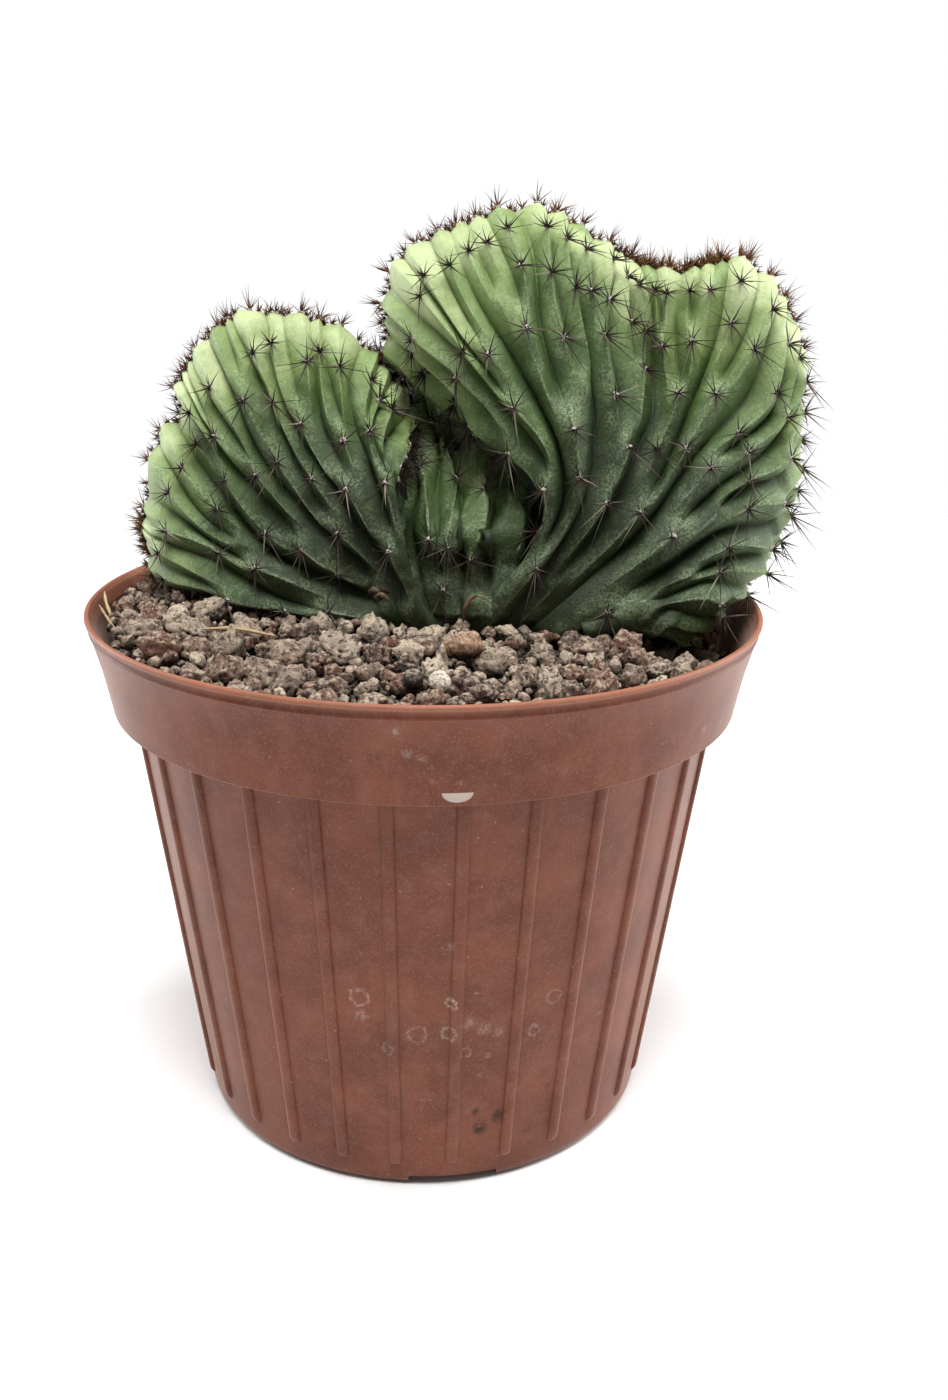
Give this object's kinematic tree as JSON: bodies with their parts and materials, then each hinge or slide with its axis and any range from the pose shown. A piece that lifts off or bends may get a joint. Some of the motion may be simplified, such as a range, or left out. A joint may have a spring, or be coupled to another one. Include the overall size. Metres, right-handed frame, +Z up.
{
  "type": "potted crested cactus",
  "caption": "Crested cactus with fan-shaped ribbed lobes and spines, standing in stone grit in a round tapered nursery pot with a collar and vertical beads.",
  "frame": {"origin": "middle of the pot's flat base, on the surface that the pot stands on", "axes": "+Z up; -Y towards the viewer of the plant's best side; +X to that viewer's right, along the crest"},
  "size_m": [0.1318, 0.12, 0.168],
  "materials": {
    "pot_plastic": "satin",
    "lava_grit": "matte",
    "plant_skin": "satin"
  },
  "bodies": {
    "root": {"pot": "pot_plastic", "grit": "lava_grit", "cactus": "plant_skin"}
  },
  "joints": []
}
